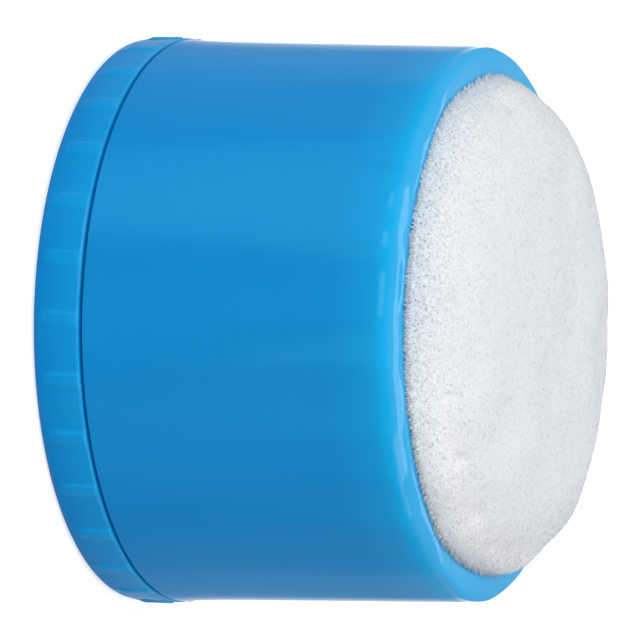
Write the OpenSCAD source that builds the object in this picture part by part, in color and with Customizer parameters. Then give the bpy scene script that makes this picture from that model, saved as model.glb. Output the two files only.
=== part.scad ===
// Round sponge applicator: a moulded cup, a foam pad in its mouth and a ribbed screw cap under it.
// Millimetres, +Z towards the foam, origin at the centre of the face that the cap rests on.

/* [Cup] */
// Outer diameter of the cup's wall at its lower edge
wall_d = 53.1; // [44:0.1:64]
// Height of the lip's crest above the rest face
cup_h = 35.6; // [30:0.1:46]
// Slope of the outer wall towards the mouth, in degrees
wall_draft = 1.2; // [0.5:0.1:1.5]
// Radius of the rounded shoulder between wall and lip
shoulder_r = 2.4; // [2:0.1:2.8]
// Rounding of the wall's lower edge
wall_edge_r = 0.2; // [0.1:0.05:0.4]
// Thickness of the wall at its lower edge
wall_t = 2.45; // [2.2:0.05:3]
// Slope of the inner wall towards the mouth, in degrees
bore_draft = 0.4; // [0.2:0.1:0.6]
// Thickness of the threaded neck under the wall
neck_wall = 1.1; // [0.9:0.1:1.2]
// Flat width on the lip's crest, between the shoulder and the inner edge
lip_land = 0.1; // [0.05:0.05:0.6]
// Height of the lip, from its crest to where its underside meets the bore
lip_h = 2.6; // [2.2:0.1:3.4]
// Radius of the lip's inner edge
lip_edge_r = 0.7; // [0.4:0.1:0.9]

/* [Grip ribs in the mouth] */
// Number of ribs that grip the foam
grip_count = 30; // [12:2:36]
// Width of one grip rib
grip_w = 0.9; // [0.6:0.1:1.2]
// How far a grip rib stands in from the inner wall
grip_depth = 0.7; // [0.4:0.1:0.8]
// Length of a grip rib below the lip
grip_len = 6.6; // [5:0.1:8]

/* [Feed plate] */
// Thickness of the perforated plate
plate_t = 1.5; // [1.2:0.1:2]
// Clearance between the plate's edge and the inner wall
plate_gap = 0.25; // [0.2:0.05:0.4]
// Diameter of one feed hole
feed_hole_d = 2.6; // [2:0.1:3]
// Radial distance between the rings of holes
feed_ring_pitch = 5; // [4:0.1:6]
// Smallest width of plate left outside the last ring of holes
feed_margin = 0.5; // [0.3:0.1:2]
// Width of the rim that stiffens the plate's underside
plate_rim_w = 1.5; // [1:0.1:2]
// Height of the rim that stiffens the plate's underside
plate_rim_h = 1.0; // [0.6:0.1:1.6]
// Number of snap lugs under the plate
lug_count = 6; // [3:1:8]
// Width of one snap lug
lug_w = 4; // [3:0.5:6]
// How far a snap lug reaches under the plate
lug_depth = 0.75; // [0.6:0.05:0.9]
// Height of one snap lug, slope included
lug_h = 1.8; // [1.4:0.1:2.4]

/* [Foam pad] */
// Height of the foam's crown above the lip's crest
crown_h = 6.0; // [4:0.1:9]
// How far the crown swells over the lip's inner edge
crown_swell = 0.65; // [0.2:0.05:0.75]
// Squareness of the crown, from 0.3 for a flat top to 1 for an ellipse
crown_power = 0.43; // [0.3:0.01:1]
// Clearance round the foam, so that the soft solid stays free of the mouldings
foam_gap = 0.2; // [0.1:0.05:0.4]

/* [Cap] */
// How far the cap stands out from the cup's wall, ribs not counted
cap_step = 0.45; // [0.2:0.05:1]
// Height of the cap
cap_h = 4.8; // [4.4:0.1:6]
// Thickness of the cap's floor
cap_floor = 1.2; // [1:0.1:1.6]
// Radial clearance between neck and cap, which the thread ridges fill
thread_gap = 0.5; // [0.45:0.05:0.6]
// Radius of the cap's lower edge
cap_edge_r = 0.9; // [0.5:0.1:1]
// Rounding of the cap's rim
rim_edge_r = 0.3; // [0.1:0.05:0.4]
// Height of the shadow gap between the cap's rim and the cup's wall
parting_gap = 0.25; // [0.15:0.05:0.8]
// Depth of the recess under the cap
foot_recess = 0.4; // [0.2:0.1:0.5]
// Width of the foot ring round that recess
foot_w = 3.2; // [2.5:0.1:5]

/* [Cap ribs] */
// Number of grip ribs round the cap
rib_count = 30; // [16:2:36]
// Width of one cap rib
rib_w = 0.75; // [0.5:0.05:1.2]
// How far a cap rib stands out
rib_depth = 0.24; // [0.15:0.01:0.4]
// Height of the smooth band under the ribs
rib_start = 1.5; // [1.2:0.1:2]

/* [Gasket] */
// Thickness of the sealing ring
gasket_t = 0.8; // [0.6:0.1:1.2]
// Radial clearance of the sealing ring in its seat
gasket_gap = 0.15; // [0.1:0.05:0.3]
// Thickness of the ridge that keeps the ring in place
ridge_t = 0.6; // [0.5:0.1:0.9]

/* [Hidden] */
$fn = 96;

full_turn = 360;
eps = 0.01;          // overlap that joins two shapes of one moulding
cut = 1;             // how far a cutting shape runs past the face it cuts
embed = 0.5;         // how far a rib or lug is rooted in its wall

// Heights, from the rest face up
gasket_z = cap_floor;
neck_z = gasket_z + gasket_t;
wall_z = cap_h + parting_gap;
lip_z = cup_h - lip_h;
grip_z = lip_z - grip_len;
plate_z = grip_z - plate_t;
crown_z = cup_h + foam_gap;

// Outer wall: radius at any height, and the shoulder arc that is tangent to it
wall_r = wall_d / 2;
shoulder_z = cup_h - shoulder_r;
function wall_r_at(z) = wall_r - (z - wall_z) * tan(wall_draft);
shoulder_c = wall_r_at(shoulder_z) - shoulder_r / cos(wall_draft);
shoulder_start = [
    shoulder_c + shoulder_r * cos(wall_draft),
    shoulder_z + shoulder_r * sin(wall_draft)
];

// Inner wall and mouth
bore_r = wall_r - wall_t;
function bore_r_at(z) = bore_r - (z - neck_z) * tan(bore_draft);
mouth_r = shoulder_c - lip_land - lip_edge_r;
lip_round_z = cup_h - lip_edge_r;
lip_slope_z = lip_z + bore_r_at(lip_z) - mouth_r;

// Neck, cap and gasket
neck_r = bore_r + neck_wall;
cap_r = wall_r + cap_step;
skirt_r = neck_r + thread_gap;
gasket_out_r = skirt_r - gasket_gap;
gasket_in_r = bore_r - gasket_gap;
ridge_out_r = gasket_in_r - gasket_gap;
ridge_h = gasket_t * 0.6;

// Foam and feed plate
plate_r = bore_r_at(grip_z) - plate_gap;
feed_ring_max = plate_r - plate_rim_w - feed_margin - feed_hole_d / 2;
feed_rings = floor(feed_ring_max / feed_ring_pitch);
foam_r = min(mouth_r, bore_r_at(grip_z) - grip_depth) - foam_gap;
crown_r = mouth_r + crown_swell;
crown_step = 6;

// ---- Small shapes that repeat ----

// Copies its child round the axis, the first one facing -Y
module ring_of(count) {
    for (i = [0 : count - 1])
        rotate(i * full_turn / count - 90) children();
}

// What is cut from a lower outer corner of a half section to round it
module lower_edge(radius) {
    difference() {
        translate([0, -cut]) square([radius + cut, radius + cut]);
        translate([0, radius]) circle(r = radius);
    }
}

// A flat rib of the given width whose outline is drawn in the radial plane
module radial_rib(width) {
    rotate([90, 0, 0])
        linear_extrude(height = width, center = true) children();
}

// ---- Cup ----

// Outer form of the cup: neck, tapered wall, shoulder arc and crest
module cup_outline() {
    translate([0, neck_z]) square([neck_r, wall_z - neck_z + eps]);
    difference() {
        polygon([[0, wall_z], [wall_r, wall_z], shoulder_start, [shoulder_c, shoulder_start[1]],
                 [shoulder_c, cup_h], [0, cup_h]]);
        translate([wall_r - wall_edge_r, wall_z]) lower_edge(wall_edge_r);
    }
    translate([shoulder_c, shoulder_z]) circle(r = shoulder_r);
}

// Space inside the cup, with the lip's sloping underside, and the mouth with its rounded edge
module cup_space() {
    polygon([[-cut, neck_z - cut], [bore_r, neck_z - cut], [bore_r, neck_z],
             [bore_r_at(lip_z), lip_z], [mouth_r, lip_slope_z],
             [mouth_r, cup_h + cut], [-cut, cup_h + cut]]);
    difference() {
        translate([mouth_r - eps, lip_round_z]) square([lip_edge_r + eps, lip_edge_r + cut]);
        translate([mouth_r + lip_edge_r, lip_round_z]) circle(r = lip_edge_r);
    }
}

// Rib outline: square foot on the plate's side, faded into the lip's slope
module grip_outline() {
    rib_r = bore_r_at(grip_z) - grip_depth;
    polygon([[rib_r, grip_z], [bore_r_at(grip_z) + embed, grip_z],
             [bore_r_at(lip_z) + embed, lip_z + embed],
             [rib_r, lip_slope_z - (rib_r - mouth_r)]]);
}

// Lug outline: flat top under the plate, sloped below so that the plate snaps past it
module lug_outline() {
    top_r = bore_r_at(plate_z) - lug_depth;
    polygon([[top_r, plate_z - plate_rim_h], [bore_r_at(plate_z) + embed, plate_z - plate_rim_h],
             [bore_r_at(plate_z) + embed, plate_z - plate_rim_h - lug_h],
             [bore_r_at(plate_z - plate_rim_h - lug_h), plate_z - plate_rim_h - lug_h]]);
}

module body_shell() {
    color([0.06, 0.55, 0.82]) {
        rotate_extrude()
            difference() {
                cup_outline();
                cup_space();
            }
        ring_of(grip_count) radial_rib(grip_w) grip_outline();
        ring_of(lug_count) radial_rib(lug_w) lug_outline();
    }
}

// ---- Cap ----

// Half section of the cap: floor on a foot ring, skirt, and the gasket's ridge
module cap_outline() {
    difference() {
        square([cap_r, cap_h]);
        // inside of the skirt
        translate([-cut, cap_floor]) square([skirt_r + cut, cap_h]);
        // recess under the floor
        translate([-cut, -cut])
            square([cap_r - cap_edge_r - foot_w + cut, foot_recess + cut]);
        translate([cap_r - cap_edge_r, 0]) lower_edge(cap_edge_r);
        translate([cap_r - rim_edge_r, cap_h]) mirror([0, 1]) lower_edge(rim_edge_r);
    }
    translate([ridge_out_r - ridge_t, cap_floor - eps]) square([ridge_t, ridge_h + eps]);
}

// One grip rib, its top end flush with the start of the rim's rounding
module cap_rib() {
    translate([cap_r - embed, -rib_w / 2, rib_start])
        cube([embed + rib_depth, rib_w, cap_h - rim_edge_r - rib_start]);
}

module base_cap() {
    color([0.07, 0.5, 0.78]) {
        rotate_extrude() cap_outline();
        ring_of(rib_count) cap_rib();
    }
}

module cap_gasket() {
    color([0.75, 0.75, 0.72])
        rotate_extrude()
            translate([gasket_in_r, gasket_z])
                square([gasket_out_r - gasket_in_r, gasket_t]);
}

// ---- Feed plate and foam ----

module feed_plate() {
    color([0.9, 0.9, 0.9])
        difference() {
            union() {
                translate([0, 0, plate_z]) cylinder(r = plate_r, h = plate_t);
                translate([0, 0, plate_z - plate_rim_h]) plate_rim();
            }
            translate([0, 0, plate_z - cut]) {
                feed_hole();
                for (k = [1 : feed_rings])
                    ring_of(6 * k) translate([k * feed_ring_pitch, 0, 0]) feed_hole();
            }
        }
}

// Stiffening rim under the plate's edge, which stands on the lugs
module plate_rim() {
    difference() {
        cylinder(r = plate_r, h = plate_rim_h + eps);
        translate([0, 0, -cut]) cylinder(r = plate_r - plate_rim_w, h = plate_rim_h + 2 * cut);
    }
}

module feed_hole() {
    cylinder(d = feed_hole_d, h = plate_t + 2 * cut, $fn = 32);
}

// Foam: a plug that stands on the feed plate, and a crown that swells over the lip
module foam_outline() {
    translate([0, grip_z]) square([foam_r, crown_z - grip_z + eps]);
    polygon(concat(
        [[0, crown_z]],
        [for (a = [0 : crown_step : 90 - crown_step])
            [crown_r * pow(cos(a), crown_power), crown_z + crown_h * sin(a)]],
        [[0, crown_z + crown_h]]
    ));
}

module foam_pad() {
    color([0.93, 0.94, 0.96])
        rotate_extrude() foam_outline();
}

body_shell();
base_cap();
cap_gasket();
feed_plate();
foam_pad();
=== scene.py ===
import math

import bpy
import numpy as np
from mathutils import Matrix, Vector


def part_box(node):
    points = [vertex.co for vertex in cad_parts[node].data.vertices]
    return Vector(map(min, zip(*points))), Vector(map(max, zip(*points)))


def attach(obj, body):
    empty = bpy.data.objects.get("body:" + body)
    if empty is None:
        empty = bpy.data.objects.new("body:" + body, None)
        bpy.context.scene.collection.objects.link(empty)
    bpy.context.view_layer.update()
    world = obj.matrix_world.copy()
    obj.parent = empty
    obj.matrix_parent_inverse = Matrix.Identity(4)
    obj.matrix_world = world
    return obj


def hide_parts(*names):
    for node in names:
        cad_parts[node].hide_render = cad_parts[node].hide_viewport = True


# Looks of a round sponge applicator: blue moulded cup, white foam crown, ribbed screw cap.
# Sizes are in millimetres and become metres where a mesh is made. Up is +Z, the camera is on the -Y side.

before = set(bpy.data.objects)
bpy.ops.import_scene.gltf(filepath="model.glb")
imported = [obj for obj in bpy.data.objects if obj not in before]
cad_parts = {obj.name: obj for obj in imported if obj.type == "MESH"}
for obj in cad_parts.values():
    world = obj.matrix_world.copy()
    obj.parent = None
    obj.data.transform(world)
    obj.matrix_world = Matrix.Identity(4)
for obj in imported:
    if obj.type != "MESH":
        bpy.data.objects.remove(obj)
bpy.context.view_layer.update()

MM = 0.001
SEED = 7
TURN = 2 * math.pi

# ---- Sizes: the outer ones come from the CAD parts in model.glb, the rest repeat the part's own values ----


def node_box(node):
    """A CAD node's lowest and highest corners, in millimetres."""
    low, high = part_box(node)
    return low / MM, high / MM


cup_low, cup_high = node_box("body_shell")
_, cap_high = node_box("base_cap")
foam_low, foam_high = node_box("foam_pad")
gasket_low, gasket_high = node_box("cap_gasket")

WALL_R = cup_high.x
CUP_H = cup_high.z
NECK_Z = cup_low.z
CAP_H = cap_high.z
FOAM_BASE_Z = foam_low.z
CROWN_R = foam_high.x
CROWN_TOP = foam_high.z

WALL_DRAFT = math.radians(1.2)
SHOULDER_R = 2.4
WALL_EDGE_R = 0.2
WALL_T = 2.45
BORE_DRAFT = math.radians(0.4)
NECK_WALL = 1.1
LIP_LAND = 0.1
LIP_H = 2.6
LIP_EDGE_R = 0.7
PARTING_GAP = 0.25
GRIP_COUNT, GRIP_W, GRIP_DEPTH, GRIP_LEN = 30, 0.9, 0.7, 6.6
PLATE_T, PLATE_RIM_H = 1.5, 1.0
LUG_COUNT, LUG_W, LUG_DEPTH, LUG_H = 6, 4.0, 0.75, 1.8
CAP_STEP = 0.45
CAP_FLOOR = 1.2
THREAD_GAP = 0.5
CAP_EDGE_R = 0.9
RIM_EDGE_R = 0.3
FOOT_RECESS, FOOT_W = 0.4, 3.2
RIB_COUNT, RIB_W, RIB_START = 30, 0.75, 1.5
GASKET_GAP = 0.15
RIDGE_T = 0.6
FOAM_GAP = 0.2

WALL_Z = CAP_H + PARTING_GAP
SHOULDER_Z = CUP_H - SHOULDER_R
BORE_R = WALL_R - WALL_T
NECK_R = BORE_R + NECK_WALL
CAP_R = WALL_R + CAP_STEP
RIB_DEPTH = cap_high.y - CAP_R
SKIRT_R = NECK_R + THREAD_GAP
LIP_Z = CUP_H - LIP_H
GRIP_Z = LIP_Z - GRIP_LEN


def wall_r_at(z):
    return WALL_R - (z - WALL_Z) * math.tan(WALL_DRAFT)


def bore_r_at(z):
    return BORE_R - (z - NECK_Z) * math.tan(BORE_DRAFT)


SHOULDER_C = wall_r_at(SHOULDER_Z) - SHOULDER_R / math.cos(WALL_DRAFT)
MOUTH_R = SHOULDER_C - LIP_LAND - LIP_EDGE_R
FOAM_R = MOUTH_R - FOAM_GAP


# ---- Mesh tools. A part is its points, its faces and, for each face, its corners on the bake's map ----


def smooth(x):
    """0 below 0, 1 above 1 and an S-shaped ramp between."""
    x = np.clip(x, 0, 1)
    return x * x * (3 - 2 * x)


def make_object(name, part, body, material, replaced):
    """A smooth-shaded mesh object from a part in millimetres, riding on a body."""
    points, faces, corners = part
    mesh = bpy.data.meshes.new(name)
    mesh.from_pydata((np.asarray(points) * MM).tolist(), [], faces)
    mesh.uv_layers.new(name="OFBake")
    mesh.uv_layers["OFBake"].data.foreach_set("uv", np.concatenate(corners).ravel())
    mesh.update()
    mesh.shade_smooth()
    obj = bpy.data.objects.new(name, mesh)
    bpy.context.scene.collection.objects.link(obj)
    obj.data.materials.append(material)
    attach(obj, body)
    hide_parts(replaced)
    return obj


def set_values(mesh, name, values):
    """Gives each point of a mesh a value that its material reads."""
    mesh.attributes.new(name, "FLOAT", "POINT").data.foreach_set("value", values.astype(np.float32))


def join_parts(parts):
    """Puts several parts into one, each keeping its place on the bake's map."""
    points, faces, corners, start = [], [], [], 0
    for some_points, some_faces, some_corners in parts:
        points.append(np.asarray(some_points, float))
        faces += [tuple(start + k for k in f) for f in some_faces]
        corners += some_corners
        start += len(some_points)
    return np.concatenate(points), faces, corners


SHELL_TOP, STRIP_FOOT = 0.85, 0.86     # on the bake's map: turned shells below, their small parts above
CELL_FILL = 0.4      # size of a face's ring as a share of its cell


def map_cells(faces, box):
    """Gives each face a small cell of its own in a box (u0, v0, u1, v1) of the bake's map."""
    u0, v0, u1, v1 = box
    across = math.ceil(math.sqrt(len(faces) * (u1 - u0) / (v1 - v0)))
    width, height = (u1 - u0) / across, (v1 - v0) / math.ceil(len(faces) / across)
    ring = {}
    for n in {len(f) for f in faces}:
        turns = [TURN * (i + 0.5) / n for i in range(n)]
        ring[n] = CELL_FILL * np.array([[width * math.cos(t), height * math.sin(t)] for t in turns])
    return [ring[len(f)] + (u0 + (k % across + 0.5) * width, v0 + (k // across + 0.5) * height)
            for k, f in enumerate(faces)]


def arc(centre_r, centre_z, radius, from_deg, to_deg, steps):
    """Points along an arc in the half section, as (r, z)."""
    angles = np.radians(np.linspace(from_deg, to_deg, steps + 1))
    return [(centre_r + radius * math.cos(a), centre_z + radius * math.sin(a)) for a in angles]


def rounded(corners, closed, steps=4):
    """Turns (r, z, fillet) corners into an outline whose corners are fillets."""
    out, n = [], len(corners)
    for k, (r, z, fillet) in enumerate(corners):
        here = np.array([r, z])
        if fillet == 0 or (not closed and k in (0, n - 1)):
            out.append(tuple(here))
            continue
        before = np.array(corners[k - 1][:2]) - here
        after = np.array(corners[(k + 1) % n][:2]) - here
        before, after = before / np.linalg.norm(before), after / np.linalg.norm(after)
        half = math.acos(np.clip(before @ after, -1, 1)) / 2
        reach = fillet / math.tan(half)
        middle = (before + after) / np.linalg.norm(before + after)
        centre = here + middle * fillet / math.sin(half)
        start, end = here + before * reach - centre, here + after * reach - centre
        a0 = math.atan2(start[1], start[0])
        sweep = (math.atan2(end[1], end[0]) - a0 + math.pi) % TURN - math.pi
        for s in range(steps + 1):
            a = a0 + sweep * s / steps
            out.append(tuple(centre + fillet * np.array([math.cos(a), math.sin(a)])))
    return out


def filled(outline, longest):
    """Adds points along an open outline, so that no step is longer than `longest`."""
    out = []
    for a, b in zip(outline, outline[1:]):
        a, b = np.array(a), np.array(b)
        count = max(1, math.ceil(np.linalg.norm(b - a) / longest))
        out += [tuple(a + (b - a) * s / count) for s in range(count)]
    return out + [tuple(outline[-1])]


def turned(outline, angles, closed, shape=None):
    """Turns an outline round Z. shape(r, z, angles) gives each ring's radii, where they aren't all r."""
    rows, points = [], []
    for r, z in outline:
        if r < 1e-9:     # a point on the axis stays single
            rows.append([len(points)])
            points.append((0, 0, z))
            continue
        radii = np.full(len(angles), r) if shape is None else shape(r, z, angles)
        rows.append(list(range(len(points), len(points) + len(angles))))
        points += list(zip(radii * np.cos(angles), radii * np.sin(angles), np.full(len(angles), z)))
    faces, corners, n = [], [], len(angles)
    bands = len(rows) if closed else len(rows) - 1
    for k in range(bands):
        low, high = rows[k], rows[(k + 1) % len(rows)]
        v0, v1 = SHELL_TOP * k / bands, SHELL_TOP * (k + 1) / bands
        for i in range(n):
            j = (i + 1) % n
            u0, u1 = i / n, (i + 1) / n
            if len(low) == 1 and len(high) > 1:
                faces.append((low[0], high[j], high[i]))
                corners.append([(u0, v0), (u1, v1), (u0, v1)])
            elif len(high) == 1 and len(low) > 1:
                faces.append((low[i], low[j], high[0]))
                corners.append([(u0, v0), (u1, v0), (u0, v1)])
            else:
                faces.append((low[i], low[j], high[j], high[i]))
                corners.append([(u0, v0), (u1, v0), (u1, v1), (u0, v1)])
    return np.array(points), faces, corners


def radial_prism(outline, width, angle):
    """A rib: an outline in the radial plane, given width across it, turned to an angle."""
    n = len(outline)
    along = np.array([math.cos(angle), math.sin(angle), 0])
    across = np.array([-math.sin(angle), math.cos(angle), 0])
    sides = []
    for side in (-0.5, 0.5):
        sides += [r * along + side * width * across + np.array([0, 0, z]) for r, z in outline]
    faces = [tuple(range(n)), tuple(range(n, 2 * n))[::-1]]
    faces += [(k, n + k, n + (k + 1) % n, (k + 1) % n) for k in range(n)]
    return np.array(sides), faces


def spaced(count):
    """Angles round the axis, the first one facing -Y."""
    return [TURN * k / count - TURN / 4 for k in range(count)]


# ---- Screw thread: two ridges on the neck and, half a pitch above them, two in the cap ----

THREAD_LEAD = 3.0
THREAD_STARTS = 2
THREAD_DEPTH = 0.34
THREAD_FOOT, THREAD_CREST = 0.75, 0.35
THREAD_ROOT_Z = NECK_Z + 0.6
THREAD_MARGIN = 0.5      # how far the ridges stop short of the next face
THREAD_SUNK = 0.1        # how far a ridge's foot lies inside its wall
THREAD_FADE = 12         # each end of a ridge fades over one part in this many of it
THREAD_END = 0.2         # share of its width that a faded end keeps
THREAD_STEPS = 110


def thread(root_r, outward, from_z, to_z, zero_z):
    """Right-handed ridges that stand out of a wall at root_r, with ends that fade into it."""
    parts = []
    for start in range(THREAD_STARTS):
        points, faces = [], []
        for s in range(THREAD_STEPS + 1):
            t = s / THREAD_STEPS
            z = from_z + (to_z - from_z) * t
            angle = TURN * ((z - zero_z) / THREAD_LEAD + start / THREAD_STARTS)
            fade = smooth(THREAD_FADE * t) * smooth(THREAD_FADE * (1 - t))
            depth, foot, crest = THREAD_DEPTH * fade, THREAD_FOOT / 2, THREAD_CREST / 2
            section = ((-THREAD_SUNK, foot), (depth, crest), (depth, -crest), (-THREAD_SUNK, -foot))
            for reach, half in section:
                r = root_r + outward * reach
                points.append((r * math.cos(angle), r * math.sin(angle), z + half * max(fade, THREAD_END)))
        for s in range(THREAD_STEPS):
            a, b = 4 * s, 4 * (s + 1)
            faces += [(a + k, a + (k + 1) % 4, b + (k + 1) % 4, b + k) for k in range(4)]
        faces += [(3, 2, 1, 0), tuple(4 * THREAD_STEPS + k for k in range(4))]
        if outward > 0:
            faces = [f[::-1] for f in faces]
        parts.append((np.array(points), faces, []))
    points, faces, _ = join_parts(parts)
    return points, faces


# ---- Materials ----

# Painted sheen: paler streaks up the plastic stand in for soft reflected bands
SHEEN_STREAK_SCALE = 80
SHEEN_STREAK_STRETCH = 0.12              # the painted sheen streaks' rate of change along Z, as a share of that across it
SHEEN_STREAK_TURN = math.radians(31)     # turns them round the axis
SHEEN_STREAK_PALENESS = 0.35
EDGE_GLOSS = 0.08                  # share of the gloss that is left where the surface turns away
FOAM_WHITE = (0.94, 0.95, 0.975)
FOAM_BOUNCE = (0.84, 0.93, 1.0)    # painted bounce light: where blue light from the lip reaches the foam
FOAM_SHADE = (0.28, 0.35, 0.43)
PORE_SCALE, GRAIN_SCALE = 3000, 5200


def new_material(name):
    material = bpy.data.materials.new(name)
    material.use_nodes = True
    nodes = material.node_tree.nodes
    return material, nodes, material.node_tree.links, nodes["Principled BSDF"]


def noise(nodes, links, coords, scale, detail=2.0):
    node = nodes.new("ShaderNodeTexNoise")
    node.inputs["Scale"].default_value = scale
    node.inputs["Detail"].default_value = detail
    links.new(coords, node.inputs["Vector"])
    return node.outputs["Fac"]


def ramp(nodes, links, value, low, high, from_min=0.3, from_max=0.7):
    """Maps a value linearly to low..high."""
    node = nodes.new("ShaderNodeMapRange")
    node.inputs["From Min"].default_value = from_min
    node.inputs["From Max"].default_value = from_max
    node.inputs["To Min"].default_value = low
    node.inputs["To Max"].default_value = high
    links.new(value, node.inputs["Value"])
    return node.outputs["Result"]


def math_node(nodes, links, operation, a, b):
    node = nodes.new("ShaderNodeMath")
    node.operation = operation
    links.new(a, node.inputs[0])
    links.new(b, node.inputs[1])
    return node.outputs[0]


def mix_colours(nodes, links, factor, a, b):
    node = nodes.new("ShaderNodeMix")
    node.data_type = "RGBA"
    node.inputs["A"].default_value = (*a, 1)
    node.inputs["B"].default_value = (*b, 1)
    links.new(factor, node.inputs["Factor"])
    return node.outputs["Result"]


SKIN_BUMP, PORE_BUMP = 0.03 * MM, 0.1 * MM


def add_bump(nodes, links, height, shader, strength, distance):
    node = nodes.new("ShaderNodeBump")
    node.inputs["Strength"].default_value = strength
    node.inputs["Distance"].default_value = distance
    links.new(height, node.inputs["Height"])
    links.new(node.outputs["Normal"], shader.inputs["Normal"])


def object_coords(nodes):
    return nodes.new("ShaderNodeTexCoord").outputs["Object"]


def stretched(nodes, links, coords, along_z):
    """Coordinates that change at another rate along Z, for painted sheen streaks that run up the wall."""
    node = nodes.new("ShaderNodeMapping")
    node.inputs["Scale"].default_value = (1, 1, along_z)
    node.inputs["Rotation"].default_value = (0, 0, SHEEN_STREAK_TURN)
    links.new(coords, node.inputs["Vector"])
    return node.outputs["Vector"]


def mesh_value(nodes, name):
    node = nodes.new("ShaderNodeAttribute")
    node.attribute_name = name
    return node.outputs["Fac"]


def moulded_plastic(name, light, dark, roughness):
    """Plastic with painted sheen: paler streaks up the wall, and paler wedges from one mesh value. Another
    mesh value makes it lighter with painted glow and highlights.
    """
    material, nodes, links, shader = new_material(name)
    coords = object_coords(nodes)
    # painted sheen: paler streaks up the wall, and the mesh's paler wedges
    sheen_noise = noise(nodes, links, stretched(nodes, links, coords, SHEEN_STREAK_STRETCH), SHEEN_STREAK_SCALE, detail=1)
    streaks = ramp(nodes, links, sheen_noise, 0, SHEEN_STREAK_PALENESS, from_min=0.4, from_max=0.68)
    pale = math_node(nodes, links, "ADD", streaks, mesh_value(nodes, "painted_sheen"))
    solid = mix_colours(nodes, links, pale, dark, light)
    # painted light: blends in a lighter blue where glow and highlights are painted
    with_painted_light = mix_colours(nodes, links, mesh_value(nodes, "painted_light"), dark, PAINTED_LIGHT_BLUE)
    links.new(solid, with_painted_light.node.inputs["A"])
    links.new(with_painted_light, shader.inputs["Base Color"])
    wear = noise(nodes, links, coords, 220, detail=4)
    uneven = ramp(nodes, links, wear, roughness - 0.03, roughness + 0.04)
    links.new(uneven, shader.inputs["Roughness"])
    edge = nodes.new("ShaderNodeLayerWeight")
    edge.inputs["Blend"].default_value = 0.5
    not_edge = ramp(nodes, links, edge.outputs["Facing"], 1, EDGE_GLOSS, from_min=0.35, from_max=0.82)
    not_edge.node.interpolation_type = "SMOOTHSTEP"
    level = math_node(nodes, links, "MULTIPLY", mesh_value(nodes, "gloss"), not_edge)
    links.new(level, shader.inputs["Specular IOR Level"])
    skin = noise(nodes, links, coords, 900, detail=3)
    add_bump(nodes, links, skin, shader, strength=0.10, distance=SKIN_BUMP)
    return material


def foam_material():
    """White foam. Painted shade in its pores, and its grain, grow with "openness"; "depth" darkens it,
    overall and with painted shade; "bounce" makes it bluer with painted bounce light.
    """
    material, nodes, links, shader = new_material("white_foam")
    coords = object_coords(nodes)
    openness = mesh_value(nodes, "openness")
    cells = nodes.new("ShaderNodeTexVoronoi")
    cells.inputs["Scale"].default_value = PORE_SCALE
    links.new(coords, cells.inputs["Vector"])
    # painted shade in the pores: darker towards the middle of some cells, more where the foam is more open
    pore_shade = ramp(nodes, links, cells.outputs["Distance"], 0.7, 0, from_min=0.10, from_max=0.50)
    chosen = ramp(nodes, links, cells.outputs["Color"], 0, 1, from_min=0.25, from_max=0.80)
    pore_shade = math_node(nodes, links, "MULTIPLY", pore_shade, chosen)
    pore_shade = math_node(nodes, links, "MULTIPLY", pore_shade, openness)
    grain = ramp(nodes, links, noise(nodes, links, coords, GRAIN_SCALE), -0.55, 0.45)
    grain_strength = ramp(nodes, links, openness, 0.02, 0.50, from_min=0, from_max=1)
    grain = math_node(nodes, links, "MULTIPLY", grain, grain_strength)
    mottle = math_node(nodes, links, "ADD", pore_shade, grain)
    shade = math_node(nodes, links, "ADD", mottle, mesh_value(nodes, "depth"))
    bright = mix_colours(nodes, links, mesh_value(nodes, "bounce"), FOAM_WHITE, FOAM_BOUNCE)
    colour = mix_colours(nodes, links, shade, FOAM_WHITE, FOAM_SHADE)
    links.new(bright, colour.node.inputs["A"])
    links.new(colour, shader.inputs["Base Color"])
    add_bump(nodes, links, cells.outputs["Distance"], shader, strength=0.3, distance=PORE_BUMP)
    shader.inputs["Roughness"].default_value = 0.9
    shader.inputs["Specular IOR Level"].default_value = 0.2
    return material


def plain_moulding(name, light, dark, scale, rough_low, rough_high):
    """Satin rubber or plastic with a mottled colour, uneven gloss and a fine skin."""
    material, nodes, links, shader = new_material(name)
    coords = object_coords(nodes)
    mottle = noise(nodes, links, coords, scale, detail=4)
    links.new(mix_colours(nodes, links, mottle, dark, light), shader.inputs["Base Color"])
    links.new(ramp(nodes, links, mottle, rough_low, rough_high), shader.inputs["Roughness"])
    add_bump(nodes, links, noise(nodes, links, coords, 2200), shader, strength=0.2, distance=SKIN_BUMP)
    return material


PAINTED_LIGHT_BLUE = (0.006, 0.43, 0.84)     # painted light: the lighter blue of painted glow and highlights, as at the lip
DEEP_BLUE = (0.001, 0.252, 0.635)
CUP_BLUE = (0.014, 0.315, 0.705)
CAP_BLUE = (0.008, 0.295, 0.690)
WALL_GLOSS = 0.055

cup_blue = moulded_plastic("cup_plastic", CUP_BLUE, DEEP_BLUE, roughness=0.05)
cap_blue = moulded_plastic("cap_plastic", CAP_BLUE, DEEP_BLUE, roughness=0.16)
white_foam = foam_material()
seal_rubber = plain_moulding("gasket_rubber", (0.58, 0.58, 0.56), (0.46, 0.46, 0.45), 300, 0.60, 0.80)
plate_white = plain_moulding("plate_plastic", (0.80, 0.81, 0.82), (0.72, 0.73, 0.74), 90, 0.40, 0.55)

# ---- Cup, with sunk flats between soft creases that grow towards the mouth ----

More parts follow.
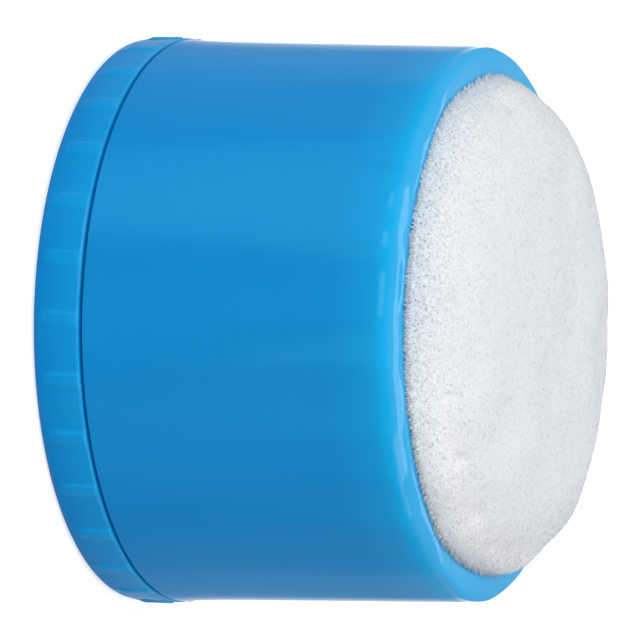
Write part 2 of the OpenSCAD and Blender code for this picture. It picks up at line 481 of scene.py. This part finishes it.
CUP_SEGMENTS = 600
FRONT_CREASES = [-90, -74, -57, -41, -29, -17, -1, 9, 23, 33, 45, 62, 78]     # degrees from -Y towards +X
SINK_TOP = SHOULDER_Z          # where the flats are deepest
SHOULDER_FULL = 0.78           # how much squarer the shoulder is off the front
WALL_SWELL, WALL_FLARE = 0.16, 0.16     # how far the wall stands out, overall and at its foot
FLARE_LENGTH = 1.8             # over this height the flare falls to 37 % of itself
CREASE_STEPS = (11, 20)        # degrees between creases off the front, least and most
LAST_STEP = 14                 # the last crease lies within this of the first one
SINK_SHARES = (1.6, 2.4)       # depth of a front flat, as a multiple of that of a cut along its chord
BACK_SINK = 0.12               # share of such a depth that is left at the sides and back
SINK_STARTS = (-6, 14)         # height at which a flat starts
CREASE_WIDTH = 0.7             # blur of a crease in degrees at the foot, twice as much at the mouth
FOOT_CHAMFER = 0.12            # at the neck's end
SLOPE_EDGE_R = 0.3             # under the lip, where the bore narrows
ROOTED = 0.3                   # how far ribs and lugs reach into the wall
# Painted sheen in wedges that look paler or deeper: each one's first edge at the mouth and at the foot, and
# its paleness
SHEEN_WEDGES = [(-90, -90, 0.1), (-57, -60, 0.1), (-41, -35, 0.5), (-36, -22, 0), (-31, -46, 0.55),
          (-12, -18, 0.1), (0, 14, 0.35), (8.5, 8.5, 0), (23, 2, 0.05), (39, 25, 0.15), (46, 33, 0),
          (62, 62, 0.3), (80, 80, 0.1), (120, 110, 0.5), (150, 160, 0.1), (200, 190, 0.6), (230, 240, 0.2)]


def sink_plan(angles):
    """For each angle its flat's depth, measured from the round wall, and the height the flat starts at."""
    rng = np.random.default_rng(SEED)
    creases = list(FRONT_CREASES)
    while creases[-1] < 360 + creases[0] - LAST_STEP:
        creases.append(min(creases[-1] + rng.uniform(*CREASE_STEPS), 360 + creases[0]))
    creases = np.radians(creases) - TURN / 4
    depth, start = np.zeros(len(angles)), np.zeros(len(angles))
    for a, b in zip(creases, creases[1:]):
        off = (angles - (a + b) / 2 + math.pi) % TURN - math.pi
        inside = np.abs(off) <= (b - a) / 2
        chord = WALL_R * (1 - math.cos((b - a) / 2) / np.cos(off))
        front = max(-math.sin((a + b) / 2), 0)
        share = BACK_SINK + (1 - BACK_SINK) * front ** 2
        depth[inside] = (chord * rng.uniform(*SINK_SHARES) * share)[inside]
        start[inside] = rng.uniform(*SINK_STARTS)
    return depth - depth.mean(), start


cup_angles = np.linspace(0, TURN, CUP_SEGMENTS, endpoint=False)
sink_depth, sink_start = sink_plan(cup_angles)


def blurred(values, width_deg):
    """Smooths values round the circle, as a crease of some width does."""
    spectrum = np.fft.rfft(values)
    order = np.arange(len(spectrum))
    return np.fft.irfft(spectrum * np.exp(-0.5 * (order * math.radians(width_deg)) ** 2), len(values))


def cup_shape(r, z, angles):
    """Radii of the cup's ring at (r, z), with flats, swell, flare and fuller shoulder on its outside."""
    outside = r > (MOUTH_R + SHOULDER_C) / 2 if z > LIP_Z else r > NECK_R + 0.1
    if not outside:
        return np.full(len(angles), r)
    grow = smooth((z - sink_start) / (SINK_TOP - sink_start)) ** 1.4
    over_lip = 1 - smooth((z - CUP_H + 0.5) / 0.5)
    width = CREASE_WIDTH + CREASE_WIDTH * smooth((z - 10) / 24)
    up_shoulder = np.clip((z - SHOULDER_Z) / SHOULDER_R, 0, 1)
    full = SHOULDER_FULL * math.sin(math.pi * up_shoulder ** 3) * smooth((0.7 + np.sin(angles)) / 0.5)
    stand = 0
    if z >= WALL_Z:
        flare = WALL_FLARE * math.exp((WALL_Z - z) / FLARE_LENGTH)
        stand = (WALL_SWELL + flare) * (1 - up_shoulder)
    return r + stand + full - over_lip * blurred(grow * sink_depth, width)


def painted_sheen_at(z, angles):
    """Painted sheen: how pale the plastic looks, in steps at the wedges' edges, softer towards the foot."""
    down = np.clip((CUP_H - z) / (CUP_H - WALL_Z), 0, 1)
    azimuth = (np.degrees(angles) + 180) % 360 - 90
    value, edge = np.full(len(angles), SHEEN_WEDGES[-1][2]), np.full(len(angles), -90.0)
    for (_, _, before), (top, foot, after) in zip([SHEEN_WEDGES[-1]] + SHEEN_WEDGES[:-1], SHEEN_WEDGES):
        edge = np.maximum(edge, top + (foot - top) * down)
        value += (after - before) * smooth(0.5 + (azimuth - edge) / (2.5 + 7 * down))
    return value


def cup_outline():
    """The cup's closed half section, from the neck's end up the outside and down the inside."""
    neck = [(NECK_R - FOOT_CHAMFER, NECK_Z), (NECK_R, NECK_Z + FOOT_CHAMFER), (NECK_R, WALL_Z)]
    edge = arc(WALL_R - WALL_EDGE_R, WALL_Z + WALL_EDGE_R, WALL_EDGE_R, 270, 360, 4)
    shoulder = arc(SHOULDER_C, SHOULDER_Z, SHOULDER_R, math.degrees(WALL_DRAFT), 90, 24)
    lip = arc(MOUTH_R + LIP_EDGE_R, CUP_H - LIP_EDGE_R, LIP_EDGE_R, 90, 180, 10)
    slope_z = LIP_Z + bore_r_at(LIP_Z) - MOUTH_R
    inside = rounded([(MOUTH_R, CUP_H - LIP_EDGE_R, 0), (MOUTH_R, slope_z, SLOPE_EDGE_R),
                      (bore_r_at(LIP_Z), LIP_Z, SLOPE_EDGE_R), (BORE_R, NECK_Z + FOOT_CHAMFER, 0)],
                     closed=False)
    foot = [(BORE_R + FOOT_CHAMFER, NECK_Z)]
    return filled(neck + edge + shoulder + lip[:-1], 0.8) + filled(inside, 1.8) + foot


def grip_rib(angle):
    """One of the ribs inside the cup that hold the foam."""
    rib_r = bore_r_at(GRIP_Z) - GRIP_DEPTH
    top = LIP_Z + bore_r_at(LIP_Z) - rib_r
    outline = [(rib_r, GRIP_Z), (bore_r_at(GRIP_Z) + ROOTED, GRIP_Z),
               (bore_r_at(LIP_Z) + ROOTED, LIP_Z + 0.2), (rib_r, top)]
    return radial_prism(outline, GRIP_W, angle)


def snap_lug(angle):
    """One of the lugs that the feed plate is snapped over."""
    top_z = GRIP_Z - PLATE_T - PLATE_RIM_H
    top_r = bore_r_at(top_z)
    outline = [(top_r - 0.01, top_z - LUG_H), (top_r + ROOTED, top_z - LUG_H), (top_r + ROOTED, top_z),
               (top_r - LUG_DEPTH, top_z)]
    return radial_prism(outline, LUG_W, angle)


def with_small_parts(shell, small_parts):
    """Joins a turned shell with ribs and ridges, which share the top strip of the bake's map."""
    points, faces, _ = join_parts([(p, f, []) for p, f in small_parts])
    return join_parts([shell, (points, faces, map_cells(faces, (0, STRIP_FOOT, 1, 1)))])


def painted_cup_light(z):
    """How much painted light lightens the blue: a glow towards the mouth and on the shoulder, a highlight at
    the lip, and the shadowed gap at the neck drawn lighter.
    """
    mouth = smooth((z - CUP_H + 7.5) / 6)
    shoulder = smooth((z - SHOULDER_Z + 0.6) / 1.8)
    lip = smooth((z - CUP_H + 0.5) / 0.4)
    neck = smooth((WALL_Z + 0.1 - z) / 0.3)
    return (0.40 * mouth + 0.45 * shoulder) + (0.10 * lip + 0.4 * neck)


def cup_gloss(z, angles):
    """The wall's faint gloss, and more on the shoulder and lip, most of it towards the front."""
    front = 0.2 + 0.8 * smooth((-0.1 - np.sin(angles)) / 0.7)
    shoulder = smooth((z - SHOULDER_Z - 1.0) / 0.6)
    lip = smooth((z - CUP_H + 0.4) / 0.3)
    return WALL_GLOSS + front * (0.35 * shoulder + 0.45 * lip)


def build_cup():
    wall = turned(cup_outline(), cup_angles, True, cup_shape)
    ribs = [grip_rib(a) for a in spaced(GRIP_COUNT)] + [snap_lug(a) for a in spaced(LUG_COUNT)]
    ridges = thread(NECK_R, 1, THREAD_ROOT_Z, WALL_Z - THREAD_MARGIN, THREAD_ROOT_Z)
    part = with_small_parts(wall, [ridges] + ribs)
    cup = make_object("cup", part, "cup", cup_blue, "body_shell")
    x, y, z = part[0].T
    angles = np.arctan2(y, x)
    # painted light on the cup: glow towards the mouth and shoulder, highlight at the lip, lighter neck gap
    set_values(cup.data, "painted_light", painted_cup_light(z))
    set_values(cup.data, "gloss", cup_gloss(z, angles))
    # painted sheen: paler wedges on the faceted wall
    set_values(cup.data, "painted_sheen", painted_sheen_at(z, angles))


# ---- Cap ----

CAP_BULGE = 0.16     # how far the cap's wall curves in towards its lower edge
RIB_FLANK = 0.38     # width of the slope at each side of a rib
RIB_WORN = 0.62      # share of a rib's height that the rounded edges leave
RIB_RUNOUT = 0.3     # how far below its start a rib begins to rise
RIM_GLOSS = 0.12


def cap_angles():
    """Angles that crowd at each grip rib's flanks."""
    half, pitch = math.degrees(RIB_W / 2 / CAP_R), 360 / RIB_COUNT
    near = [half * k for k in (0.45, 0.6, 0.8, 1.0, 1.2, 1.4, 1.7, 2.4)]
    offsets = sorted([-x for x in near] + [0] + near + [-pitch / 2, -pitch / 3, pitch / 3])
    return np.radians([math.degrees(a) + o for a in spaced(RIB_COUNT) for o in offsets])


def on_rib(z, angles):
    """1 on a grip rib of the cap, 0 between them."""
    pitch = TURN / RIB_COUNT
    off = np.abs((angles + TURN / 4 + pitch / 2) % pitch - pitch / 2) * CAP_R
    return (1 - smooth((off - RIB_W / 2) / RIB_FLANK)) * smooth((z - RIB_START + RIB_RUNOUT) / 0.5)


def cap_shape(r, z, angles):
    """Radii of the cap's ring at (r, z), with the grip ribs on its outside."""
    if r < CAP_R - RIM_EDGE_R - 0.01 or z < RIB_START - RIB_RUNOUT:
        return np.full(len(angles), r)
    end = 1 - 0.8 * smooth((z - CAP_H + RIM_EDGE_R) / RIM_EDGE_R)
    standing = max(CAP_R - r, 0) if z < CAP_H - RIM_EDGE_R else 0
    return r + (RIB_WORN * RIB_DEPTH + standing) * on_rib(z, angles) * end


def cap_outline():
    """The cap's half section, from the middle of its underside round the wall to the middle of its floor."""
    foot_r = CAP_R - CAP_EDGE_R - FOOT_W
    ridge_out = BORE_R - 2 * GASKET_GAP
    ridge_top = CAP_FLOOR + (gasket_high.z - gasket_low.z) * 0.6
    corners = [(0, FOOT_RECESS, 0), (foot_r, FOOT_RECESS, 0.15), (foot_r, 0, 0.12),
               (CAP_R - CAP_BULGE, 0, CAP_EDGE_R), (CAP_R - 0.4 * CAP_BULGE, 1.9, 4),
               (CAP_R, 3.6, 6), (CAP_R, CAP_H, RIM_EDGE_R), (SKIRT_R, CAP_H, 0.15),
               (SKIRT_R, CAP_FLOOR, 0.2), (ridge_out, CAP_FLOOR, 0.1), (ridge_out, ridge_top, 0.1),
               (ridge_out - RIDGE_T, ridge_top, 0.1), (ridge_out - RIDGE_T, CAP_FLOOR, 0.1),
               (0, CAP_FLOOR, 0)]
    return filled(rounded(corners, closed=False, steps=6), 1.0)


def build_cap():
    shell = turned(cap_outline(), cap_angles(), False, cap_shape)
    half_pitch = THREAD_LEAD / THREAD_STARTS / 2
    from_z, to_z = gasket_high.z + THREAD_MARGIN, CAP_H - THREAD_MARGIN
    ridges = thread(SKIRT_R, -1, from_z, to_z, THREAD_ROOT_Z + half_pitch)
    part = with_small_parts(shell, [ridges])
    cap = make_object("cap", part, "cap", cap_blue, "base_cap")
    x, y, z = part[0].T
    outside = smooth((np.hypot(x, y) - CAP_R + 1.5) / 0.5)
    angles = np.arctan2(y, x)
    rim = smooth((z - CAP_H + 1.1 * RIM_EDGE_R) / (0.7 * RIM_EDGE_R))
    rib = on_rib(z, angles)
    # painted light on the cap: lighter towards the rim, lighter ribs with painted highlights along their
    # flanks, and a painted highlight along the rim
    light = 0.27 * smooth((z - 0.6) / 3.4) + 0.14 * rib + 1.1 * rib * (1 - rib) + 0.3 * rim
    set_values(cap.data, "painted_light", outside * light)
    set_values(cap.data, "gloss", WALL_GLOSS + RIM_GLOSS * outside * rim)
    # painted sheen on the cap: a weaker copy of the cup's wedges at the wall's foot
    set_values(cap.data, "painted_sheen", 0.1 + 0.2 * painted_sheen_at(np.full(len(z), WALL_Z), angles))


# ---- Gasket and feed plate ----

GASKET_EDGE_R = 0.12
GASKET_SEGMENTS = 240


def build_gasket():
    inner, outer = BORE_R - GASKET_GAP, SKIRT_R - GASKET_GAP
    low, high = gasket_low.z, gasket_high.z
    corners = [(r, z, GASKET_EDGE_R) for r, z in ((inner, low), (outer, low), (outer, high), (inner, high))]
    angles = np.linspace(0, TURN, GASKET_SEGMENTS, endpoint=False)
    ring = turned(rounded(corners, closed=True), angles, True)
    make_object("gasket", ring, "seal", seal_rubber, "cap_gasket")


def dress_feed_plate():
    """The feed plate keeps its CAD mesh and gets a material."""
    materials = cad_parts["feed_plate"].data.materials
    materials.clear()
    materials.append(plate_white)


# ---- Foam ----

SKIN_SHARE = 0.7         # side of the skin's square on the bake's map
SKIN_NEXT = 0.71         # where the plug and the struts start there
CROWN_POINTS = 60        # points along the crown's half section
FOAM_GRID = 200          # quads along each side of the square that is mapped onto the crown
STRUT_COUNT = 34000      # cut strut ends that stand out of the foam's skin
STRUT_R = 0.05           # half width of a strut at its root
LUMP = 0.08              # height of the crown's slow unevenness
LIP_TUCK = 0.05          # gap between the foam's skin and the lip that it lies on
CROWN_POWER = 0.45       # how square the crown's section is, a little rounder than the solid pad's
OVERHANG = 0.5           # how much larger the crown's radius is than the solid pad's
FOOT_SAG = 0.05          # how far the crown's foot sags below the lip's top
SIDE_TUCK = 0.7          # how far its two sides are drawn in
SIDE_LIFT = 0.03         # how much more than LIP_TUCK they clear the lip's top
SKIN_NOISE = 0.02        # roughness of the skin itself
SWELLS = [(18, 12, 0.35, 5), (22, 3, 0.25, 4), (0, 22, 0.2, 8), (-18, 8, -0.1, 5)]   # x, y, height, width
DENTS = 26               # small nicks along the crown's edge
DENT_R = 0.93            # where they lie, as a share of CROWN_R
PLUG_CLEAR = 0.02        # gap between the foam and the feed plate
STRUT_STOP = 1.9         # no strut is placed this near the section's lower end
STRUT_LENGTHS = (0.06, 0.2)
STRUT_WIDTHS = (0.6, 1.2)     # as a share of STRUT_R
STRUT_SUNK = 0.02        # how far a strut's root lies under the skin
STRUT_LEAN = 0.25        # least part of a strut's way out of the skin, before the way is scaled to 1
TOOTH_SHARE = 0.5        # share of the struts over the lip that are long and bright
FOAM_DEPTH = 0.24        # how dark the foam is overall
PAINTED_SIDE_LIGHT = 0.22       # painted light: how much of that its +X side loses near the lip


def crown_outline():
    """The foam's upper half section, from its top centre over the lip and down into the cup's mouth."""
    foot_z = CUP_H - FOOT_SAG
    angles = np.radians(np.linspace(90, 0, CROWN_POINTS))
    crown = [((CROWN_R + OVERHANG) * max(math.cos(a), 0) ** CROWN_POWER,
              foot_z + (CROWN_TOP - foot_z) * math.sin(a)) for a in angles]
    crown[0] = (0, CROWN_TOP)
    tuck = arc(MOUTH_R + LIP_EDGE_R, CUP_H - LIP_EDGE_R, LIP_EDGE_R + LIP_TUCK, 92, 160, 8)
    tuck = [(r, z) for r, z in tuck if r > FOAM_R]
    return np.array(crown + tuck + [(FOAM_R, CUP_H - LIP_H)])


def square_to_disc(n):
    """Maps an n by n grid onto the unit disc, ring for ring. Returns radius and angle arrays."""
    line = np.linspace(-1, 1, n + 1)
    u, v = np.meshgrid(line, line, indexing="ij")
    wide = np.abs(u) >= np.abs(v)
    radius = np.where(wide, u, v)
    other = np.where(wide, v, u)
    turn = math.pi / 4 * other / np.where(radius == 0, 1, radius)
    angle = np.where(wide, turn, math.pi / 2 - turn) + np.where(radius < 0, math.pi, 0)
    return np.abs(radius).ravel(), angle.ravel()


class Crown:
    """The foam's skin: gives points and normals by distance from the top centre and angle."""

    def __init__(self, rng):
        self.outline = crown_outline()
        self.steps = np.concatenate([[0], np.cumsum(np.hypot(*np.diff(self.outline, axis=0).T))])
        self.length = self.steps[-1]
        self.crown_length = self.steps[CROWN_POINTS - 1]
        self.waves = []
        for scale, height, count in ((9, LUMP, 20), (2.5, 0.12 * LUMP, 24)):
            ways = rng.normal(size=(count, 3))
            ways *= TURN / scale / np.linalg.norm(ways, axis=1)[:, None] * rng.uniform(0.7, 1.4, (count, 1))
            self.waves.append((ways, rng.uniform(0, TURN, count), height * math.sqrt(2 / count)))
        turn = rng.uniform(0, TURN, DENTS)
        dent_r = CROWN_R * DENT_R
        self.dents = [(dent_r * math.cos(t), dent_r * math.sin(t),
                       -rng.uniform(0.1, 0.3), rng.uniform(0.4, 0.8)) for t in turn]

    def profile(self, along):
        """Radius and height on the section, before anything depends on the angle."""
        radius, height = self.outline.T
        return np.interp(along, self.steps, radius), np.interp(along, self.steps, height)

    def tucked(self, along, angle):
        """Radius and height, with the pad's two sides drawn in and lifted clear of the lip."""
        r, z = self.profile(along)
        sideways = smooth((np.abs(np.cos(angle)) - 0.8) / 0.2)
        sideways = sideways * np.clip(self.crown_length + 1 - along, 0, 1)
        lifted = z + (LIP_TUCK + FOOT_SAG + SIDE_LIFT) * sideways * smooth(CUP_H + 1 - z)
        return r - SIDE_TUCK * sideways * smooth((r - 15) / 8), lifted

    def at(self, along, angle):
        """Points, normals, and how free of the lip each point is, from 0 to 1."""
        r, z = self.tucked(along, angle)
        r0, z0 = self.profile(along - 0.2)
        r1, z1 = self.profile(along + 0.2)
        size = np.maximum(np.hypot(r1 - r0, z1 - z0), 1e-6)
        out, up = (z0 - z1) / size, (r1 - r0) / size
        points = np.stack([r * np.cos(angle), r * np.sin(angle), z], -1)
        normals = np.stack([out * np.cos(angle), out * np.sin(angle), up], -1)
        free = smooth((z - CUP_H - 0.05) / 0.9)
        lift = sum(height * np.sin(points @ ways.T + phases).sum(1) for ways, phases, height in self.waves)
        for x, y, height, width in SWELLS + self.dents:
            lift += height * np.exp(-((points[:, 0] - x) ** 2 + (points[:, 1] - y) ** 2) / width ** 2)
        return points + normals * (free * lift)[:, None], normals, free


def foam_skin(crown, rng):
    """The foam's outer surface as a square grid, and how open its cells look at each point, which sets their
    painted pore shade.
    """
    share, angle = square_to_disc(FOAM_GRID)
    along = (1.12 * share - 0.12 * share ** 3) * crown.length     # rings crowd towards the lip
    points, normals, free = crown.at(along, angle)
    points += normals * ((0.2 + 0.8 * free) * SKIN_NOISE * rng.normal(size=len(points)))[:, None]
    n = FOAM_GRID + 1
    faces, corners = [], []
    for i in range(FOAM_GRID):
        for j in range(FOAM_GRID):
            square = ((i, j), (i + 1, j), (i + 1, j + 1), (i, j + 1))
            faces.append(tuple(a * n + b for a, b in square))
            corners.append([(SKIN_SHARE * a / FOAM_GRID, SKIN_SHARE * b / FOAM_GRID) for a, b in square])
    below = CROWN_TOP - points[:, 2]
    openness = 0.10 + 0.25 * smooth((below - 0.2) / 1.8) + 0.6 * smooth((below - 2) / 3)
    return points, faces, corners, openness


def foam_plug(skin):
    """Closes the foam from the skin's rim down to the feed plate."""
    n, last = FOAM_GRID + 1, FOAM_GRID
    edge = ([i * n for i in range(last)] + [last * n + j for j in range(last)]
            + [i * n + last for i in range(last, 0, -1)] + list(range(last, 0, -1)))
    rim = skin[edge]
    points, rows = [], [edge]
    foot_z = FOAM_BASE_Z + PLUG_CLEAR
    for z, inset in ((FOAM_BASE_Z + 1, 0), (FOAM_BASE_Z + 0.2, 0), (foot_z, 0.2)):
        ring = rim.copy()
        ring[:, :2] *= ((FOAM_R - inset) / np.hypot(ring[:, 0], ring[:, 1]))[:, None]
        ring[:, 2] = z
        rows.append([len(skin) + len(points) + k for k in range(len(edge))])
        points += list(ring)
    faces = []
    for high, low in zip(rows, rows[1:]):
        faces += [(high[k], low[k], low[(k + 1) % len(low)], high[(k + 1) % len(low)])
                  for k in range(len(low))]
    foot = len(skin) + len(points)
    points.append((0, 0, foot_z))
    faces += [(rows[-1][k], foot, rows[-1][(k + 1) % len(edge)]) for k in range(len(edge))]
    return np.array(points), faces, map_cells(faces, (SKIN_NEXT, 0, 1, SKIN_SHARE))


def strut_places(crown, rng):
    """Where the struts stand: random places on the crown, denser towards the lip."""
    table = np.linspace(0, crown.length - STRUT_STOP, 600)
    radius, height = crown.profile(table)
    density = 0.5 + 0.8 * smooth((CUP_H + 3.5 - height) / 3) + 2.0 * (height < CUP_H + 0.5)
    weight = np.cumsum((radius + 0.3) * density * (table < crown.crown_length))
    along = np.interp(rng.random(STRUT_COUNT) * weight[-1], weight, table)
    return along, rng.uniform(0, TURN, STRUT_COUNT)


def foam_struts(crown, rng):
    """Thin three-sided spikes all over the crown, longer and leaning outwards over the lip."""
    along, angle = strut_places(crown, rng)
    roots, normals, _ = crown.at(along, angle)
    z = roots[:, 2]
    low = smooth((CUP_H + 3.0 - z) / 3)[:, None]
    over_lip = smooth((CUP_H + 0.8 - z) / 0.4)[:, None]
    outward = np.stack([np.cos(angle), np.sin(angle), np.full(STRUT_COUNT, 0.05)], -1)
    outward[:, 2] -= 0.6 * smooth((z - CUP_H - 0.1) / 0.3)
    spread = (0.62 - 0.3 * over_lip) * rng.normal(size=(STRUT_COUNT, 3))
    way = normals * (1 - over_lip) + outward * over_lip + spread
    lean = (way * normals).sum(1, keepdims=True)
    way += normals * np.maximum(STRUT_LEAN - lean, 0)
    way /= np.linalg.norm(way, axis=1)[:, None]
    tooth = over_lip * (rng.random((STRUT_COUNT, 1)) < TOOTH_SHARE)
    length = rng.uniform(*STRUT_LENGTHS, (STRUT_COUNT, 1)) * (1 + 0.5 * low + 0.6 * over_lip + 1.6 * tooth)
    side = np.cross(way, rng.normal(size=(STRUT_COUNT, 3)))
    side /= np.linalg.norm(side, axis=1)[:, None]
    third = np.cross(way, side)
    width = STRUT_R * rng.uniform(*STRUT_WIDTHS, (STRUT_COUNT, 1)) * (1 + 0.1 * over_lip + 0.7 * tooth)
    base = roots - STRUT_SUNK * normals
    feet = [base + width * (math.cos(a) * side + math.sin(a) * third) for a in (0, TURN / 3, 2 * TURN / 3)]
    points = np.stack(feet + [roots + way * length], 1).reshape(-1, 3)
    faces = []
    for k in range(0, 4 * STRUT_COUNT, 4):
        faces += [(k, k + 1, k + 3), (k + 1, k + 2, k + 3), (k + 2, k, k + 3)]
    # painted shade: strut roots darker than tips, random darker struts over the lip, long teeth drawn bright
    painted_root_shade = 0.05 - 0.25 * tooth + 0.45 * (over_lip - tooth) * rng.random((STRUT_COUNT, 1))
    painted_tip_shade = 0.3 * painted_root_shade - 0.06
    depth = np.concatenate([painted_root_shade, painted_root_shade, painted_root_shade, painted_tip_shade], 1).ravel()
    return points, faces, map_cells(faces, (0, SKIN_NEXT, 1, 1)), depth


def build_foam():
    rng = np.random.default_rng(SEED + 1)
    crown = Crown(rng)
    skin, skin_faces, skin_corners, openness = foam_skin(crown, rng)
    plug, plug_faces, plug_corners = foam_plug(skin)
    body = (np.concatenate([skin, plug]), skin_faces + plug_faces, skin_corners + plug_corners)
    *struts, painted_strut_shade = foam_struts(crown, rng)
    part = join_parts([body, struts])
    foam = make_object("foam", part, "cup", white_foam, "foam_pad")
    total, base = len(part[0]), len(body[0])
    opened, depth = np.zeros(total), np.zeros(total)
    opened[:len(openness)] = openness
    depth[base:] = painted_strut_shade
    x, _, z = part[0].T
    side = smooth((x + 2) / 14)
    # overall darkening, with less of it on the +X side near the lip as painted light
    depth += FOAM_DEPTH - PAINTED_SIDE_LIGHT * side * smooth((CUP_H + 4.5 - z) / 3)
    set_values(foam.data, "openness", opened)
    set_values(foam.data, "depth", depth)
    # painted bounce light: bluer near the lip, less of it on the +X side
    set_values(foam.data, "bounce", (1 - 0.6 * side) * smooth((CUP_H + 3.2 - z) / 3.2))


# ---- Stage, lights and camera ----

CAMERA_ELEVATION = math.radians(21.0)
CAMERA_ROLL = math.radians(0.87)     # the cup's axis dips by this in the picture
CAMERA_DISTANCE = 600 * MM
CAMERA_LENS = 355.7
AIM_HEIGHT = 20 * MM
AIM_RIGHT, AIM_DOWN = 1.67 * MM, 0.24 * MM
SENSOR_WIDTH = 36
FLOOR_RADIUS = 1.5                   # metres
FLOOR_DROP = 0.02 * MM               # keeps the floor off the foot ring's own face
FLOOR_COLOUR = (0.8, 0.8, 0.8, 1)
FLOOR_LIFT = 0.6                     # emission that takes the seen floor to white
WORLD_LIGHT, WORLD_SEEN = 0.31, 1.0  # the world's strength as a light, and where it is seen
WHITE = (1, 1, 1, 1)
# Name, azimuth and elevation in degrees, distance, width and height in metres, radiance
SOFTBOXES = [
    ("key", -30, 20, 0.8, 0.40, 0.30, 7.4),
    ("overhead", 0, 86, 0.4, 0.56, 0.16, 2.5),
    ("right_fill", 74, 38, 0.8, 0.30, 0.40, 2.0),
    ("back_fill", 180, 50, 0.8, 0.8, 0.3, 1.2),
]


def add_camera():
    """The picture is turned a quarter, so the cup's up direction points to its right."""
    back = Vector((0, -math.cos(CAMERA_ELEVATION), math.sin(CAMERA_ELEVATION)))
    side, up = Vector((1, 0, 0)), Vector((0, math.sin(CAMERA_ELEVATION), math.cos(CAMERA_ELEVATION)))
    right = up * math.cos(CAMERA_ROLL) - side * math.sin(CAMERA_ROLL)
    top = -up * math.sin(CAMERA_ROLL) - side * math.cos(CAMERA_ROLL)
    place = Vector((0, 0, AIM_HEIGHT)) + back * CAMERA_DISTANCE - right * AIM_RIGHT + top * AIM_DOWN
    data = bpy.data.cameras.new("camera")
    data.lens = CAMERA_LENS
    data.sensor_width = SENSOR_WIDTH
    data.clip_start, data.clip_end = 0.01, 20
    camera = bpy.data.objects.new("camera", data)
    bpy.context.scene.collection.objects.link(camera)
    turn = Matrix((right, top, back)).transposed().to_4x4()
    camera.matrix_world = Matrix.Translation(place) @ turn
    bpy.context.scene.camera = camera


def add_softbox(name, azimuth, elevation, distance, width, height, strength):
    """An area lamp that faces the cup, its place given as the camera's is: azimuth 0 is the -Y side."""
    a, e = math.radians(azimuth), math.radians(elevation)
    back = Vector((math.sin(a) * math.cos(e), -math.cos(a) * math.cos(e), math.sin(e)))
    across = Vector((math.cos(a), math.sin(a), 0))
    data = bpy.data.lights.new(name, "AREA")
    data.shape = "RECTANGLE"
    data.size, data.size_y = width, height
    data.energy = strength * width * height * math.pi
    lamp = bpy.data.objects.new(name, data)
    bpy.context.scene.collection.objects.link(lamp)
    turn = Matrix((across, back.cross(across), back)).transposed().to_4x4()
    lamp.matrix_world = Matrix.Translation(Vector((0, 0, AIM_HEIGHT)) + back * distance) @ turn


def seen_by_rays(nodes, links):
    """1 for camera, glossy and transmitted rays, else 0."""
    path = nodes.new("ShaderNodeLightPath").outputs
    glossy = math_node(nodes, links, "MAXIMUM", path["Is Glossy Ray"], path["Is Transmission Ray"])
    return math_node(nodes, links, "MAXIMUM", path["Is Camera Ray"], glossy)


def add_floor():
    place = (0, 0, -FLOOR_DROP)
    bpy.ops.mesh.primitive_circle_add(vertices=96, radius=FLOOR_RADIUS, fill_type="NGON", location=place)
    floor = bpy.context.object
    floor.name = "floor"
    material, nodes, links, shader = new_material("floor")
    shader.inputs["Base Color"].default_value = FLOOR_COLOUR
    shader.inputs["Roughness"].default_value = 0.9
    shader.inputs["Specular IOR Level"].default_value = 0.0
    shader.inputs["Emission Color"].default_value = WHITE
    lift = ramp(nodes, links, seen_by_rays(nodes, links), 0, FLOOR_LIFT, from_min=0, from_max=1)
    links.new(lift, shader.inputs["Emission Strength"])
    floor.data.materials.append(material)


def add_world():
    world = bpy.data.worlds.new("world")
    world.use_nodes = True
    nodes, links = world.node_tree.nodes, world.node_tree.links
    background = nodes["Background"]
    background.inputs["Color"].default_value = WHITE
    seen = seen_by_rays(nodes, links)
    strength = ramp(nodes, links, seen, WORLD_LIGHT, WORLD_SEEN, from_min=0, from_max=1)
    links.new(strength, background.inputs["Strength"])
    bpy.context.scene.world = world


add_camera()
add_world()
add_floor()
for softbox in SOFTBOXES:
    add_softbox(*softbox)

build_cup()
build_cap()
build_gasket()
build_foam()
dress_feed_plate()

bpy.context.scene.view_settings.view_transform = "Standard"
